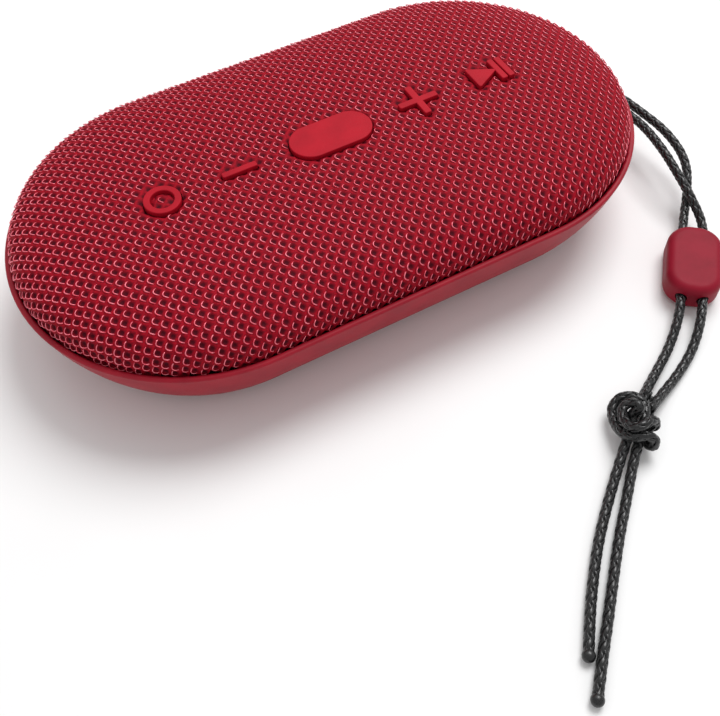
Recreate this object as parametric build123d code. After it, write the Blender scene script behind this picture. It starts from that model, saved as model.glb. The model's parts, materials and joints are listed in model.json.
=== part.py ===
from build123d import *
import math
import os

# A flat portable speaker: a stadium-shaped lower housing, a domed fabric top with five buttons in a row,
# and a wrist lanyard on a pin in the +X end wall. Millimetres, +Z up, z = 0 on the surface it stands on,
# origin under the middle of the housing, +X along its length towards the lanyard.
# Every racetrack-shaped piece is drawn as a section: distance out from the middle line, and height.

# ---------------------------------------------------------------- overall sizes
RIM_LENGTH = 166.0
RIM_WIDTH = 93.2
RIM_Z = 23.0                # top of the housing's rim
DOME_RISE = 11.1            # crown of the fabric above the rim
UNDERSIDE_Z = 1.0           # underside of the housing, lifted by the foot ring
ROLL_RADIUS = 8.0           # rounding from the underside into the wall
ROLL_TILT = 35.0            # lean of the wall where that rounding ends, degrees
ROLL_INSET = 14.9           # from the rim in to where the underside goes flat

# ---------------------------------------------------------------- housing and cover
WALL = 2.4
LIP = 1.5                   # wall beside the fabric
LIP_ROUND = 0.6
LEDGE_Z = 14.0              # the step that the baffle's seal lies on
LEDGE_WIDTH = 3.2
COVER_GAP = 0.35            # dark gap between lip and fabric
FABRIC = 0.9
GLUE_GAP = 0.15             # between fabric and grille frame
GRILLE = 1.6
GRILLE_HOLE_R = 2.1
GRILLE_PITCH = 6.4
GRILLE_MARGIN = 15.0        # from the rim in to the last hole
DOME_POWER = 3.0            # how square the dome's shoulder is
DOME_POINTS = 9
FABRIC_SKIRT = 1.0          # the frame's skirt reaches this much below the fabric's
FOOT_INNER = 25.0
FOOT_OUTER = 31.0
FOOT_GROOVE = 0.5
FIT = 0.1                   # clearance of a glued or clipped piece in its seat
RUNNING = 0.05              # radial clearance of a pin or shank in its hole

# ---------------------------------------------------------------- baffle
SEAL = 0.4
SEAL_WIDTH = 1.1
BAFFLE = 2.2
BAFFLE_GAP = 0.35           # round the baffle's edge

# ---------------------------------------------------------------- drivers
DRIVER_X = 44.0
FLANGE_R = 21.0
FLANGE = 1.4
BASKET_R = 17.9
BASKET_FOOT_R = 16.2
YOKE_R = 11.0
YOKE_WALL = 1.6
YOKE_HEIGHT = 6.6
MAGNET_R = 7.8
MAGNET = 3.2
TOP_PLATE_R = 8.0
TOP_PLATE = 1.2
COIL_INNER_R = 8.3
COIL_WALL = 0.6
COIL_HEIGHT = 6.1
CONE_R = 15.4
CONE_LIP = 1.0
PAPER = 0.5
ROLL_SKIN = 0.45
CONE_DEPTH = 4.5            # from the cone's rim down to its coil
YOKE_DROP = 3.4             # top of the yoke below the baffle
SPIDER_RISE = 1.0           # spider above the yoke's top
SPIDER = 0.4
SPIDER_SHELF = (13.6, 15.3)
SURROUND_ROLL = 2.2         # from the cone's edge across the rubber roll
SURROUND_FOOT_INSET = 2.8   # from the flange's edge in to the roll's foot
DUST_CAP = (9.4, 2.2, 0.4)  # radius, rise and thickness
DUST_CAP_LIFT = 0.85        # above the cone's neck
DRIVER_SCREW_RING = 19.7

# ---------------------------------------------------------------- passive radiator
RADIATOR_HALF = 14.5        # half of its straight part, which lies along Y
RADIATOR_PLATE_R = 12.0
RADIATOR_HOLE_R = 14.9
RADIATOR_FOOT_R = 17.2
RADIATOR_PLATE = 1.0

# ---------------------------------------------------------------- buttons
BUTTON_Y = -0.5
BUTTON_PROUD = 0.5          # tops above the fabric's crown
BUTTON_EDGE = 0.25
SIGN_CORNER = 0.45          # corner radius of the signs in plan
BUTTON_GAP = 0.25           # round a button in the cover and the frame
BUTTON_FLANGE = 1.0
BUTTON_FLANGE_THICK = 0.9
FLANGE_DROP = 0.35          # flange below the frame
POWER_X, POWER_R, POWER_HOLE_R = -43.5, 4.45, 2.85
MINUS_X, MINUS_LENGTH, MINUS_WIDTH = -24.0, 8.9, 1.7
PILL_X, PILL_LENGTH, PILL_WIDTH = 0.3, 21.5, 11.0
PLUS_X, PLUS_LENGTH, PLUS_WIDTH = 24.7, 10.8, 1.9
PLAY_X, PLAY_WIDTH, PLAY_LENGTH = 40.6, 8.0, 7.4
BAR_WIDTH, BAR_GROOVE = 1.7, 0.35
BAR_OVERLAP = 0.7           # of the triangle's point into the first bar
ICON_DEPTH = 0.75           # how far the raised signs reach below the crown
SWITCH_SIDE = 4.5
SWITCH_HEIGHT = 2.0
PLUNGER_R = 1.2
PLUNGER_DEPTH = 0.8         # plunger inside the switch body at rest
PLUNGER_ROOM = 0.6
SWITCH_GAP = 1.4            # switch body to button flange
BOARD = 1.2
BUTTON_BOARD_WIDTH = 13.0
BUTTON_BOARD_MARGIN = 8.5
BOARD_POST_X = (-33.5, -15.0, 15.3, 35.3)
BOARD_POST_R = 2.2

# ---------------------------------------------------------------- electronics and sockets
POCKET_INSET = 13.8         # from the rim in to the sockets' faces
POCKET_WALL = 1.2
POCKET_HALF = 15.0
POCKET_LOW, POCKET_HIGH = 6.6, 12.8
FLAP = 1.6
FLAP_HALF = 15.8
FLAP_LOW, FLAP_HIGH = 6.1, 13.4
FLAP_GAP = 0.3
FLAP_BEAD_R = 0.9           # rolled rubber bead that the flap turns on
MAIN_BOARD_Z = 6.5
MAIN_BOARD_HALF = 24.5
MAIN_BOARD_DEPTH = 18.4
BOARD_HOLE_INSET = 3.0
STANDOFF_R = 2.3
USB_X, USB_WIDTH, USB_HEIGHT, USB_DEPTH = -6.5, 8.94, 3.26, 7.4
AUX_X, AUX_WIDTH, AUX_HEIGHT, AUX_DEPTH = 7.0, 6.5, 5.0, 12.0
AUX_BORE_R = 1.75
AUX_BARREL_R = 2.45
BATTERY = (52.0, 32.0, 7.5)
BATTERY_Y = -9.0

# ---------------------------------------------------------------- screws
CASE_SCREW_AT = (52.0, 23.5)
CASE_SCREW_R = 1.25
CASE_POST_R = 3.0
CASE_SPLIT_Z = 12.0         # where a case post meets its boss
BAFFLE_SCREW_X = 29.0
BAFFLE_SCREW_INSET = 10.1   # from the rim in
BAFFLE_SCREW_ANGLE = 30.0   # of those round the ends
BAFFLE_BOSS_R = 2.8
SMALL_SCREW_R = 1.0
TINY_SCREW_R = 0.7

# ---------------------------------------------------------------- lanyard
CORD_D = 2.5
LEAD_D = 0.9                # insulated lead inside
PIN_R = 1.1
LANYARD_Z = 9.6
LANYARD_PIN_INSET = 7.8     # from the rim's end in to the pin
LANYARD_RECESS_INSET = 12.6
LANYARD_RECESS = (13.2, 5.8)
BEAD = (22.3, 13.8, 7.8)
BEAD_CORNER = 6.1           # in plan
BEAD_EDGE = 2.2
BEAD_CENTRE = (71.7, -60.1, 4.0)
BEAD_DIRECTION = (-0.655, -0.757)
BEAD_HOLE_SPACING = 5.2
BEAD_HOLE_R = 1.45
KNOT_CENTRE = (30.4, -89.4, 5.35)
KNOT_LONG, KNOT_R = 6.2, 5.2

STRAND_A = [(72.75, 0.0, 9.6), (72.75, 2.45, 9.6), (84.2, 2.9, 9.8), (90.2, -2.6, 10.3),
            (91.0, -12.0, 10.8), (92.3, -22.5, 10.5), (91.4, -32.6, 8.5), (86.3, -40.1, 5.6),
            (80.2, -46.3, 4.0), (73.5, -54.0, 4.06), (66.2, -62.5, 4.06), (59.6, -70.1, 4.0),
            (52.2, -76.0, 1.6), (43.8, -80.7, 1.7), (38.3, -83.8, 3.2), (34.8, -86.0, 4.3)]
STRAND_B = [(72.75, 0.0, 9.6), (72.75, -2.45, 9.6), (82.2, -2.8, 9.8), (87.4, -7.6, 10.3),
            (88.0, -17.2, 10.9), (86.2, -28.0, 11.2), (84.7, -36.6, 9.9), (84.2, -42.9, 7.8),
            (83.8, -50.1, 4.0), (77.5, -57.4, 4.06), (70.0, -66.1, 4.06), (63.5, -73.6, 4.0),
            (56.8, -79.3, 1.5), (48.6, -83.4, 1.35), (41.2, -86.2, 2.3), (35.4, -88.7, 4.1)]
TAIL_A = [(26.6, -91.9, 3.9), (22.7, -94.9, 2.4), (14.8, -101.3, 1.35), (7.1, -107.9, 1.3),
          (0.6, -114.6, 1.3), (-5.2, -121.2, 1.3), (-9.8, -127.1, 1.3)]
TAIL_B = [(28.8, -93.4, 3.8), (25.2, -96.4, 2.4), (18.2, -103.2, 1.35), (10.9, -109.9, 1.3),
          (4.2, -116.7, 1.3), (-2.0, -123.1, 1.3), (-7.4, -128.5, 1.3), (-13.4, -134.8, 1.3)]
PIN_FILLET = 2.2            # of a strand's first bend, round the pin

# ---------------------------------------------------------------- what follows from them
RIM_HALF = RIM_WIDTH / 2
HALF_STRAIGHT = (RIM_LENGTH - RIM_WIDTH) / 2
FLAT_HALF = RIM_HALF - ROLL_INSET
CROWN_Z = RIM_Z + DOME_RISE
FLOOR_Z = UNDERSIDE_Z + WALL
BAFFLE_LOW = LEDGE_Z + SEAL
BAFFLE_TOP = BAFFLE_LOW + BAFFLE
FABRIC_SKIRT_Z = BAFFLE_TOP + FABRIC_SKIRT
FRAME_INSET = FABRIC + GLUE_GAP
CAVITY_INSET = FRAME_INSET + GRILLE
BODY_TOP = CROWN_Z - ICON_DEPTH
FLANGE_TOP = CROWN_Z - CAVITY_INSET - FLANGE_DROP
FLANGE_LOW = FLANGE_TOP - BUTTON_FLANGE_THICK
SWITCH_TOP = FLANGE_LOW - SWITCH_GAP
BUTTON_BOARD_TOP = SWITCH_TOP - SWITCH_HEIGHT
MAIN_BOARD_TOP = MAIN_BOARD_Z + BOARD
POCKET_Y = RIM_HALF - POCKET_INSET
BOARD_FRONT_Y = POCKET_Y - POCKET_WALL - 0.2
BOARD_BACK_Y = BOARD_FRONT_Y - MAIN_BOARD_DEPTH
PIN_X = RIM_LENGTH / 2 - LANYARD_PIN_INSET
RECESS_X = RIM_LENGTH / 2 - LANYARD_RECESS_INSET
FLEX_X = (RADIATOR_FOOT_R + DRIVER_X - FLANGE_R) / 2
FLEX_Y = 20.0
FLEX_WIDTH = 3.4
FLEX = 0.3
YOKE_TOP = BAFFLE_LOW - YOKE_DROP
YOKE_LOW = YOKE_TOP - YOKE_HEIGHT
CONE_TOP = BAFFLE_TOP + FLANGE
COIL_TOP = CONE_TOP - CONE_DEPTH
SPIDER_Z = YOKE_TOP + SPIDER_RISE
BEAD_HEADING = math.degrees(math.atan2(BEAD_DIRECTION[1], BEAD_DIRECTION[0]))
LEAD_Z = MAIN_BOARD_TOP + 0.1 + LEAD_D / 2
FIRST_BAR_X = PLAY_LENGTH - BAR_OVERLAP + BAR_WIDTH / 2
SIDES = ("left", -1), ("right", 1)


# ================================================================ sections and sweeps
def wall_circle():
    """Centre and radius of the wall's outer arc, which leaves the underside's rounding smoothly."""
    tilt = math.radians(ROLL_TILT)
    foot = Vector(FLAT_HALF + ROLL_RADIUS * math.cos(tilt),
                  UNDERSIDE_Z + ROLL_RADIUS * (1 - math.sin(tilt)))
    chord = Vector(RIM_HALF, RIM_Z) - foot
    inward = Vector(-math.cos(tilt), math.sin(tilt))
    radius = chord.dot(chord) / (2 * chord.dot(inward))
    return foot + inward * radius, radius


WALL_CENTRE, WALL_RADIUS = wall_circle()


def wall_r(depth, z):
    """Distance out from the middle line of the surface that lies depth inside the wall, at height z."""
    return WALL_CENTRE.X + math.sqrt((WALL_RADIUS - depth) ** 2 - (z - WALL_CENTRE.Y) ** 2)


def wall_arc(depth, low_z, high_z):
    points = [(wall_r(depth, z), z) for z in (low_z, (low_z + high_z) / 2, high_z)]
    return ThreePointArc(*points)


def hull_section(depth, top_z):
    """The housing's outline, moved in by depth and filled up to top_z."""
    tilt = math.radians(ROLL_TILT)
    middle = math.radians((90 + ROLL_TILT) / 2)
    radius = ROLL_RADIUS - depth
    roll = Vector(FLAT_HALF, UNDERSIDE_Z + ROLL_RADIUS)
    low = roll + Vector(0, -radius)
    half = roll + Vector(math.cos(middle), -math.sin(middle)) * radius
    join = roll + Vector(math.cos(tilt), -math.sin(tilt)) * radius
    rim = (wall_r(depth, top_z), top_z)
    wall_middle_z = (join.Y + top_z) / 2
    edges = [Line((0, low.Y), low),
             ThreePointArc(low, half, join),
             ThreePointArc(join, (wall_r(depth, wall_middle_z), wall_middle_z), rim),
             Line(rim, (0, top_z)),
             Line((0, top_z), (0, low.Y))]
    return make_face(Curve() + edges)


def band_section(depth, low_z, high_z):
    """All that lies inside the wall between two heights."""
    low_r = wall_r(depth, low_z)
    high_r = wall_r(depth, high_z)
    edges = [Line((0, low_z), (low_r, low_z)),
             wall_arc(depth, low_z, high_z),
             Line((high_r, high_z), (0, high_z)),
             Line((0, high_z), (0, low_z))]
    return make_face(Curve() + edges)


def dome_section(inset, skirt_z):
    """The dome moved in by inset, with a skirt that follows the lip down to skirt_z."""
    width = wall_r(LIP, RIM_Z) - COVER_GAP - inset
    rise = DOME_RISE - inset
    points = []
    for step in range(DOME_POINTS + 1):
        angle = math.radians(90 * step / DOME_POINTS)
        out = width * math.sin(angle) ** (2 / DOME_POWER)
        up = rise * max(math.cos(angle), 0) ** (2 / DOME_POWER)
        points.append((out, RIM_Z + up))
    points[0] = (0, RIM_Z + rise)
    points[-1] = (width, RIM_Z)
    skirt = (wall_r(LIP, skirt_z) - COVER_GAP - inset, skirt_z)
    edges = [Spline(points, tangents=[(1, 0), (0, -1)]),
             Line(points[-1], skirt),
             Line(skirt, (0, skirt_z)),
             Line((0, skirt_z), points[0])]
    return make_face(Curve() + edges)


def ring_section(inner, outer, low_z, high_z):
    return Pos((inner + outer) / 2, (low_z + high_z) / 2) * Rectangle(outer - inner, high_z - low_z)


def polygon(*points):
    return make_face(Polyline(*points, close=True))


def racetrack(section, half_straight=None):
    """Carries a section round the stadium: two half turns and two straight sides."""
    reach = HALF_STRAIGHT if half_straight is None else half_straight
    upright = Plane.XZ * section
    end = revolve(Rot(0, 0, -90) * upright, Axis.Z, 180)
    side = extrude(Rot(0, 0, 90) * upright, amount=reach, dir=(1, 0, 0), both=True)
    pieces = Pos(reach, 0, 0) * end + Pos(-reach, 0, 0) * Rot(0, 0, 180) * end
    return pieces + side + Rot(0, 0, 180) * side


def turned(section, x=0.0):
    """Revolves a section about the upright axis at x."""
    return Pos(x, 0, 0) * revolve(Plane.XZ * section, Axis.Z, 360)


def post(x, y, radius, low_z, high_z):
    return Pos(x, y, (low_z + high_z) / 2) * Cylinder(radius, high_z - low_z)


def block(low, high):
    size = [b - a for a, b in zip(low, high)]
    middle = [(a + b) / 2 for a, b in zip(low, high)]
    return Pos(*middle) * Box(*size)


def slab(sketch, low_z, high_z):
    return extrude(Pos(0, 0, low_z) * sketch, amount=high_z - low_z, dir=(0, 0, 1))


def screw(x, y, head_z, radius, length, head_up=True):
    """A pan-head screw; its head stands on head_z and its shank goes away from the head."""
    sign = 1 if head_up else -1
    head = Pos(0, 0, sign * radius * 0.7) * Cylinder(radius * 1.8, radius * 1.4)
    head = fillet(head.edges().filter_by(GeomType.CIRCLE).sort_by(Axis.Z)[-1 if head_up else 0], radius * 0.5)
    slot_z = sign * radius * 1.4
    head -= Pos(0, 0, slot_z) * Box(radius * 2.2, radius * 0.4, radius * 0.8)
    head -= Pos(0, 0, slot_z) * Box(radius * 0.4, radius * 2.2, radius * 0.8)
    shank = Pos(0, 0, -sign * length / 2) * Cylinder(radius, length)
    return Pos(x, y, head_z) * (head + shank)


def group(solids):
    return Compound(children=list(solids))


# ================================================================ places
def case_places():
    x, y = CASE_SCREW_AT
    return [(sx * x, sy * y) for sx in (-1, 1) for sy in (-1, 1)]


def baffle_places():
    reach = RIM_HALF - BAFFLE_SCREW_INSET
    angle = math.radians(BAFFLE_SCREW_ANGLE)
    end_x = HALF_STRAIGHT + reach * math.cos(angle)
    end_y = reach * math.sin(angle)
    sides = [(sx * BAFFLE_SCREW_X, sy * reach) for sx in (-1, 1) for sy in (-1, 1)]
    ends = [(sx * end_x, sy * end_y) for sx in (-1, 1) for sy in (-1, 1)]
    return sides + ends


def main_board_places():
    x = MAIN_BOARD_HALF - BOARD_HOLE_INSET
    return [(sx * x, y) for sx in (-1, 1)
            for y in (BOARD_BACK_Y + BOARD_HOLE_INSET, BOARD_FRONT_Y - BOARD_HOLE_INSET)]


def driver_screw_places(x):
    reach = DRIVER_SCREW_RING * math.sqrt(0.5)
    return [(x + sx * reach, sy * reach) for sx in (-1, 1) for sy in (-1, 1)]


# ================================================================ housing
def flap_axis():
    """Place of the flap's hinge line in Y and Z, one bead radius inside the wall."""
    lean = math.asin((WALL_CENTRE.Y - FLAP_LOW) / WALL_RADIUS)
    return (wall_r(0, FLAP_LOW) - FLAP_BEAD_R * math.cos(lean), FLAP_LOW + FLAP_BEAD_R * math.sin(lean))


FLAP_Y, FLAP_Z = flap_axis()


def make_base_shell():
    section = hull_section(0, RIM_Z) - hull_section(WALL, LEDGE_Z + 1)
    section += ring_section(wall_r(WALL, LEDGE_Z) - LEDGE_WIDTH + WALL / 2, wall_r(WALL / 2, LEDGE_Z - 1.4),
                            LEDGE_Z - 1.4, LEDGE_Z)
    section -= band_section(LIP, LEDGE_Z, RIM_Z + 1)
    section = fillet(section.vertices().group_by(Axis.Y)[-1], LIP_ROUND)
    section -= ring_section(FOOT_INNER - FIT, FOOT_OUTER + FIT, UNDERSIDE_Z - 1, UNDERSIDE_Z + FOOT_GROOVE)
    shell = racetrack(section)

    inside = racetrack(hull_section(WALL / 2, RIM_Z))
    added = [post(x, y, CASE_POST_R, UNDERSIDE_Z + WALL / 2, CASE_SPLIT_Z) for x, y in case_places()]
    added += [post(x, y, BAFFLE_BOSS_R, UNDERSIDE_Z + WALL / 2, BAFFLE_LOW) for x, y in baffle_places()]
    added += [post(x, y, STANDOFF_R, UNDERSIDE_Z + WALL / 2, MAIN_BOARD_Z) for x, y in main_board_places()]
    added.append(block((-POCKET_HALF - 2, POCKET_Y - POCKET_WALL, UNDERSIDE_Z + WALL),
                       (POCKET_HALF + 2, RIM_HALF, LEDGE_Z)))
    recess_width, recess_height = LANYARD_RECESS
    added.append(block((RECESS_X - 2, -recess_width / 2 - 2, UNDERSIDE_Z + WALL / 2),
                       (RIM_LENGTH / 2, recess_width / 2 + 2, LEDGE_Z)))
    for piece in added:
        shell += piece & inside

    # sockets' pocket with the seat of the flap and of its bead
    mouth = RectangleRounded(2 * POCKET_HALF, POCKET_HIGH - POCKET_LOW, 1.5)
    shell -= along_y(mouth, 0, (POCKET_LOW + POCKET_HIGH) / 2, POCKET_Y, POCKET_Y + 20)
    shell -= flap_band(FLAP + FLAP_GAP, FLAP_GAP)
    shell -= flap_bead(FLAP_BEAD_R + FLAP_GAP, FLAP_HALF + FLAP_GAP)
    back = POCKET_Y - 4
    front = POCKET_Y + 1
    usb_hole = RectangleRounded(USB_WIDTH + 2 * FIT, USB_HEIGHT + 2 * FIT, 1.5)
    shell -= along_y(usb_hole, USB_X, MAIN_BOARD_TOP + USB_HEIGHT / 2 + FIT, back, front)
    shell -= along_y(Circle(AUX_BARREL_R + FIT), AUX_X, MAIN_BOARD_TOP + AUX_HEIGHT / 2, back, front)

    # lanyard recess and the blind hole for its pin
    mouth = extrude(Plane.YZ * RectangleRounded(recess_width, recess_height, 2.4), amount=30)
    shell -= Pos(RECESS_X, 0, LANYARD_Z) * mouth
    pin_low = LANYARD_Z - recess_height / 2 - 2
    shell -= post(PIN_X, 0, PIN_R + RUNNING, pin_low, LANYARD_Z + recess_height / 2 + 1.2)

    for x, y in case_places():
        shell -= post(x, y, CASE_SCREW_R + RUNNING, 0, CASE_SPLIT_Z)
        shell -= post(x, y, CASE_SCREW_R * 1.8 + FIT, 0, UNDERSIDE_Z + WALL + FIT)
    for x, y in baffle_places():
        shell -= post(x, y, SMALL_SCREW_R + RUNNING, BAFFLE_LOW - 6.5, BAFFLE_LOW)
    for x, y in main_board_places():
        shell -= post(x, y, SMALL_SCREW_R + RUNNING, FLOOR_Z, MAIN_BOARD_Z)
    return shell


def along_y(sketch, x, z, low_y, high_y):
    """A sketch stood up on the X-Z plane and run from low_y to high_y."""
    return Pos(x, low_y, z) * Rot(-90, 0, 0) * extrude(sketch, amount=high_y - low_y)


def flap_band(depth, spread):
    """The outer skin of the wall behind the flap, depth thick and spread wider all round."""
    section = band_section(0, FLAP_LOW, FLAP_HIGH + spread)
    section -= band_section(depth, FLAP_LOW, FLAP_HIGH + spread)
    upright = Plane.XZ * section
    return extrude(Rot(0, 0, 90) * upright, amount=FLAP_HALF + spread, dir=(1, 0, 0), both=True)


def flap_bead(radius, half_length):
    return Pos(0, FLAP_Y, FLAP_Z) * Rot(0, 90, 0) * Cylinder(radius, 2 * half_length)


def make_port_cover():
    return flap_band(FLAP, 0) + flap_bead(FLAP_BEAD_R, FLAP_HALF)


def make_foot_ring():
    section = ring_section(FOOT_INNER, FOOT_OUTER, 0, UNDERSIDE_Z + FOOT_GROOVE)
    section = fillet(section.vertices().group_by(Axis.Y)[0], 0.4)
    return racetrack(section)


def make_lanyard_pin():
    height = LANYARD_RECESS[1]
    return post(PIN_X, 0, PIN_R, LANYARD_Z - height / 2 - 2 + FIT, LANYARD_Z + height / 2 + 1.1)


# ================================================================ cover, grille frame and buttons
def sign_power():
    return Circle(POWER_R) - Circle(POWER_HOLE_R)


def sign_minus():
    return RectangleRounded(MINUS_LENGTH, MINUS_WIDTH, SIGN_CORNER)


def sign_pill():
    return SlotOverall(PILL_LENGTH, PILL_WIDTH)


def sign_plus():
    arm = RectangleRounded(PLUS_LENGTH, PLUS_WIDTH, SIGN_CORNER)
    return arm + Rot(0, 0, 90) * arm


def sign_play():
    half = PLAY_WIDTH / 2
    triangle = polygon((0, -half), (PLAY_LENGTH, 0), (0, half))
    triangle = fillet(triangle.vertices(), SIGN_CORNER)
    bar = RectangleRounded(BAR_WIDTH, PLAY_WIDTH, SIGN_CORNER)
    return [triangle, Pos(FIRST_BAR_X, 0) * bar, Pos(FIRST_BAR_X + BAR_WIDTH + BAR_GROOVE, 0) * bar]


def stem_play():
    """One outline under the triangle and both bars."""
    half = PLAY_WIDTH / 2
    near = FIRST_BAR_X - BAR_WIDTH / 2
    far = near + 2 * BAR_WIDTH + BAR_GROOVE
    neck = half * (1 - near / PLAY_LENGTH)
    return polygon((0, -half), (near, -neck), (near, -half), (far, -half),
                   (far, half), (near, half), (near, neck), (0, half))


# name, place in X, raised pieces of the sign, what they stand on below the fabric, switch's place beside X
BUTTONS = [("power", POWER_X, [sign_power()], Circle(POWER_R), 0.0),
           ("volume_down", MINUS_X, [sign_minus()], sign_minus(), 0.0),
           ("center", PILL_X, [sign_pill()], sign_pill(), 0.0),
           ("volume_up", PLUS_X, [sign_plus()], sign_plus(), 0.0),
           ("play_pause", PLAY_X, sign_play(), stem_play(), 5.6)]


def make_button(x, sign, stem):
    button = slab(offset(stem, BUTTON_FLANGE), FLANGE_LOW, FLANGE_TOP) + slab(stem, FLANGE_TOP, BODY_TOP)
    for piece in sign:
        raised = slab(piece, BODY_TOP, CROWN_Z + BUTTON_PROUD)
        button += fillet(raised.edges().group_by(Axis.Z)[-1], BUTTON_EDGE)
    return Pos(x, BUTTON_Y, 0) * button


def make_plunger(x, aside):
    return post(x + aside, BUTTON_Y, PLUNGER_R, SWITCH_TOP - PLUNGER_DEPTH, FLANGE_LOW)


def make_power_fabric_disc():
    return Pos(POWER_X, BUTTON_Y, 0) * slab(Circle(POWER_HOLE_R - FIT), BODY_TOP, CROWN_Z)


def button_openings(low_z, high_z):
    return [Pos(x, BUTTON_Y, 0) * slab(offset(stem, BUTTON_GAP), low_z, high_z)
            for name, x, sign, stem, aside in BUTTONS]


def make_fabric_cover():
    cover = racetrack(dome_section(0, FABRIC_SKIRT_Z) - dome_section(FABRIC, FABRIC_SKIRT_Z - 1))
    for hole in button_openings(BODY_TOP - 2, CROWN_Z + 1):
        cover -= hole
    return cover


def grille_hole_places():
    """Round holes in a square pattern, clear of the button row, the edge and the posts."""
    places = []
    columns = round(HALF_STRAIGHT * 1.7 / GRILLE_PITCH)
    for column in range(-columns, columns + 1):
        for row in (-4, -3, -2, 2, 3, 4):
            x, y = column * GRILLE_PITCH, row * GRILLE_PITCH
            past = max(abs(x) - HALF_STRAIGHT, 0)
            blocked = any(math.hypot(x - px, y - py) < CASE_POST_R + 3 for px, py in case_places())
            if math.hypot(past, y) < RIM_HALF - GRILLE_MARGIN and not blocked:
                places.append((x, y))
    return places


def make_grille_frame():
    frame = racetrack(dome_section(FRAME_INSET, BAFFLE_TOP) - dome_section(CAVITY_INSET, BAFFLE_TOP - 1))
    tools = button_openings(BODY_TOP - 4, CROWN_Z + 1)
    tools += [post(x, y, GRILLE_HOLE_R, RIM_Z, CROWN_Z) for x, y in grille_hole_places()]
    frame -= tools
    posts = [post(x, y, CASE_POST_R, CASE_SPLIT_Z, CROWN_Z) - post(x, y, CASE_SCREW_R + RUNNING, 0, 22)
             for x, y in case_places()]
    posts += [post(x, BUTTON_Y, BOARD_POST_R, BUTTON_BOARD_TOP, CROWN_Z)
              - post(x, BUTTON_Y, SMALL_SCREW_R + RUNNING, 0, BUTTON_BOARD_TOP + 3.5) for x in BOARD_POST_X]
    reach = racetrack(dome_section(FRAME_INSET, 1.0))
    for piece in posts:
        frame += piece & reach
    return frame


def make_button_board():
    low_x = POWER_X - BUTTON_BOARD_MARGIN
    high_x = PLAY_X + PLAY_LENGTH + BUTTON_BOARD_MARGIN
    outline = Pos((low_x + high_x) / 2, BUTTON_Y) * RectangleRounded(high_x - low_x, BUTTON_BOARD_WIDTH, 3)
    board = slab(outline, BUTTON_BOARD_TOP - BOARD, BUTTON_BOARD_TOP)
    for x in BOARD_POST_X:
        board -= post(x, BUTTON_Y, SMALL_SCREW_R + 0.2, 0, CROWN_Z)
    return board


def make_switch_bodies():
    bodies = []
    for name, x, sign, stem, aside in BUTTONS:
        body = block((-SWITCH_SIDE / 2, -SWITCH_SIDE / 2, BUTTON_BOARD_TOP),
                     (SWITCH_SIDE / 2, SWITCH_SIDE / 2, SWITCH_TOP))
        body -= post(0, 0, PLUNGER_R + FIT, SWITCH_TOP - PLUNGER_DEPTH - PLUNGER_ROOM, SWITCH_TOP)
        bodies.append(Pos(x + aside, BUTTON_Y, 0) * body)
    return group(bodies)


def make_button_flex():
    """A flat ribbon from the button board's edge, over and down through the baffle to the main board."""
    start = BUTTON_Y + BUTTON_BOARD_WIDTH / 2 - 2
    top = BUTTON_BOARD_TOP - BOARD
    line = polygon((start, top), (FLEX_Y, top), (FLEX_Y, MAIN_BOARD_TOP), (FLEX_Y - FLEX, MAIN_BOARD_TOP),
                   (FLEX_Y - FLEX, top - FLEX), (start, top - FLEX))
    ribbon = extrude(Plane.YZ * line, amount=FLEX_WIDTH / 2, both=True)
    return Pos(FLEX_X, 0, 0) * ribbon


def make_status_led():
    x = POWER_X - BUTTON_BOARD_MARGIN + 2
    return block((x, BUTTON_Y - 0.4, BUTTON_BOARD_TOP), (x + 1.6, BUTTON_Y + 0.4, BUTTON_BOARD_TOP + 0.7))


# ================================================================ baffle, drivers and radiator
def make_baffle():
    edge = wall_r(LIP, BAFFLE_LOW) - BAFFLE_GAP
    baffle = racetrack(ring_section(0, edge, BAFFLE_LOW, BAFFLE_TOP))
    for name, side in SIDES:
        baffle -= post(side * DRIVER_X, 0, BASKET_R + 0.3, 0, CROWN_Z)
        for x, y in driver_screw_places(side * DRIVER_X):
            baffle -= post(x, y, TINY_SCREW_R + RUNNING, BAFFLE_LOW, BAFFLE_TOP)
    hole = Rot(0, 0, 90) * racetrack(ring_section(0, RADIATOR_HOLE_R, 0, CROWN_Z), RADIATOR_HALF)
    baffle -= hole
    for x, y in case_places():
        baffle -= post(x, y, CASE_POST_R + FIT, 0, CROWN_Z)
    for x, y in baffle_places():
        baffle -= post(x, y, SMALL_SCREW_R + 0.2, 0, CROWN_Z)
    slot = block((FLEX_X - FLEX_WIDTH / 2 - 0.3, FLEX_Y - FLEX - 0.4, 0),
                 (FLEX_X + FLEX_WIDTH / 2 + 0.3, FLEX_Y + 0.4, CROWN_Z))
    return baffle - slot


def make_baffle_seal():
    inner = wall_r(WALL, LEDGE_Z) - 0.9
    return racetrack(ring_section(inner, inner + SEAL_WIDTH, LEDGE_Z, BAFFLE_LOW))


def make_basket(x):
    section = polygon((FLANGE_R, CONE_TOP), (FLANGE_R, BAFFLE_TOP), (BASKET_R, BAFFLE_TOP),
                      (BASKET_FOOT_R, YOKE_TOP - 1.4), (YOKE_R + RUNNING, YOKE_TOP - 1.4),
                      (YOKE_R + RUNNING, YOKE_TOP - 0.2), (SPIDER_SHELF[0], YOKE_TOP - 0.2),
                      (SPIDER_SHELF[0], SPIDER_Z), (SPIDER_SHELF[1], SPIDER_Z), (CONE_R + 1.5, CONE_TOP))
    basket = turned(section)
    for turn in range(4):
        window = block((12, -6, SPIDER_Z + 0.6), (22, 6, BAFFLE_TOP - 0.6))
        basket -= Rot(0, 0, 90 * turn) * window
    for px, py in driver_screw_places(0):
        basket -= post(px, py, TINY_SCREW_R + RUNNING, BAFFLE_TOP, CONE_TOP)
    return Pos(x, 0, 0) * basket


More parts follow.
